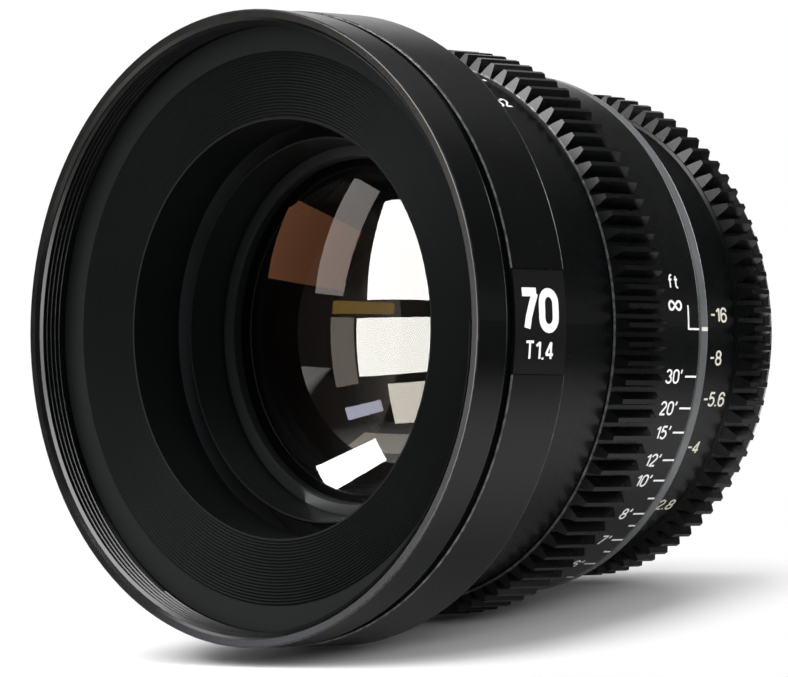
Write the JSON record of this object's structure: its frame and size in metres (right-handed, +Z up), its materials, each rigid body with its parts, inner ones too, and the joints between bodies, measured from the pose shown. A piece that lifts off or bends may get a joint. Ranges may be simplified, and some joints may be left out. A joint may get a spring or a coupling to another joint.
{
  "type": "cinema prime lens",
  "caption": "Cinema prime lens with geared focus and aperture rings, sliding lens block, working iris, filter thread and bayonet mount.",
  "frame": {"origin": "centre of the mount flange's rear face, on the optical axis", "axes": "+Y along the optical axis towards the camera, so the front faces -Y; +Z up; +X is the side with the label and the index marks"},
  "size_m": [0.0851, 0.0765, 0.0852],
  "materials": {
    "barrel_black": "satin black anodised",
    "ring_black": "satin black anodised",
    "interior_black": "matt black anodised",
    "label_black": "smooth black label stock",
    "inner_grey": "dark anodised",
    "index_grey": "grey anodised",
    "steel": "plain",
    "iris_steel": "blackened",
    "brass": "machined",
    "mount_chrome": "satin chrome",
    "glass": "multi-coated"
  },
  "bodies": {
    "barrel": {"front_ring": "barrel_black", "front_baffle": "interior_black", "front_barrel": "barrel_black", "label_plate": "label_black", "inner_barrel": "inner_grey", "barrel_screws": "steel", "focus_stop_pin": "steel", "index_ring": "index_grey", "rear_barrel": "barrel_black", "bayonet_mount": "mount_chrome", "mount_screws": "steel"},
    "focus": {"focus_ring": "ring_black"},
    "block": {"lens_block": "inner_grey", "guide_shoes": "brass", "shoe_screws": "steel", "front_cell": "interior_black", "front_retainer": "interior_black", "doublet_retainer": "interior_black", "lens_1": "glass", "lens_2": "glass", "lens_3": "glass", "rear_cell": "interior_black", "cell_screws": "steel", "lens_4": "glass", "lens_5": "glass", "rear_spacer": "interior_black", "lens_6": "glass", "rear_retainer": "interior_black", "iris_plate": "iris_steel"},
    "aperture": {"aperture_ring": "ring_black", "aperture_fork": "steel", "fork_screws": "steel"},
    "cam": {"iris_cam": "brass", "iris_bar": "steel"},
    "blade_1": {"iris_blade_1": "iris_steel"},
    "blade_2": {"iris_blade_2": "iris_steel"},
    "blade_3": {"iris_blade_3": "iris_steel"},
    "blade_4": {"iris_blade_4": "iris_steel"},
    "blade_5": {"iris_blade_5": "iris_steel"},
    "blade_6": {"iris_blade_6": "iris_steel"},
    "blade_7": {"iris_blade_7": "iris_steel"},
    "blade_8": {"iris_blade_8": "iris_steel"}
  },
  "joints": [
    {"name": "focus_turn", "type": "hinge", "parent": "barrel", "child": "focus", "pos_m": [0, -0.03748, 0], "axis": [0, -1, 0], "range_deg": [0, 195]},
    {"name": "block_slide", "type": "slide", "parent": "barrel", "child": "block", "axis": [0, -1, 0], "range_m": [0, 0.00725]},
    {"name": "aperture_turn", "type": "hinge", "parent": "barrel", "child": "aperture", "pos_m": [0, -0.01085, 0], "axis": [0, -1, 0], "range_deg": [-3.5, 87.5]},
    {"name": "cam_turn", "type": "hinge", "parent": "block", "child": "cam", "pos_m": [0, -0.0298, 0], "axis": [0, -1, 0], "range_deg": [-3.6, 87.6]},
    {"name": "blade_1_turn", "type": "hinge", "parent": "block", "child": "blade_1", "pos_m": [0.0234, -0.03305, 0], "axis": [0, -1, 0], "range_deg": [-31.5, 1.4]},
    {"name": "blade_2_turn", "type": "hinge", "parent": "block", "child": "blade_2", "pos_m": [0.01655, -0.03275, 0.01655], "axis": [0, -1, 0], "range_deg": [-31.5, 1.4]},
    {"name": "blade_3_turn", "type": "hinge", "parent": "block", "child": "blade_3", "pos_m": [0, -0.03245, 0.0234], "axis": [0, -1, 0], "range_deg": [-31.5, 1.4]},
    {"name": "blade_4_turn", "type": "hinge", "parent": "block", "child": "blade_4", "pos_m": [-0.01655, -0.03215, 0.01655], "axis": [0, -1, 0], "range_deg": [-31.5, 1.4]},
    {"name": "blade_5_turn", "type": "hinge", "parent": "block", "child": "blade_5", "pos_m": [-0.0234, -0.03185, 0], "axis": [0, -1, 0], "range_deg": [-31.5, 1.4]},
    {"name": "blade_6_turn", "type": "hinge", "parent": "block", "child": "blade_6", "pos_m": [-0.01655, -0.03155, -0.01655], "axis": [0, -1, 0], "range_deg": [-31.5, 1.4]},
    {"name": "blade_7_turn", "type": "hinge", "parent": "block", "child": "blade_7", "pos_m": [0, -0.03125, -0.0234], "axis": [0, -1, 0], "range_deg": [-31.5, 1.4]},
    {"name": "blade_8_turn", "type": "hinge", "parent": "block", "child": "blade_8", "pos_m": [0.01655, -0.03095, -0.01655], "axis": [0, -1, 0], "range_deg": [-31.5, 1.4]}
  ],
  "couplings": [
    {"joint": "block_slide", "follows": "focus_turn", "m_per_rad": 0.0021155},
    {"joint": "cam_turn", "follows": "aperture_turn", "ratio": 1},
    {"joint": "blade_1_turn", "follows": "aperture_turn", "ratio": -0.35838},
    {"joint": "blade_2_turn", "follows": "aperture_turn", "ratio": -0.35838},
    {"joint": "blade_3_turn", "follows": "aperture_turn", "ratio": -0.35838},
    {"joint": "blade_4_turn", "follows": "aperture_turn", "ratio": -0.35838},
    {"joint": "blade_5_turn", "follows": "aperture_turn", "ratio": -0.35838},
    {"joint": "blade_6_turn", "follows": "aperture_turn", "ratio": -0.35838},
    {"joint": "blade_7_turn", "follows": "aperture_turn", "ratio": -0.35838},
    {"joint": "blade_8_turn", "follows": "aperture_turn", "ratio": -0.35838}
  ]
}
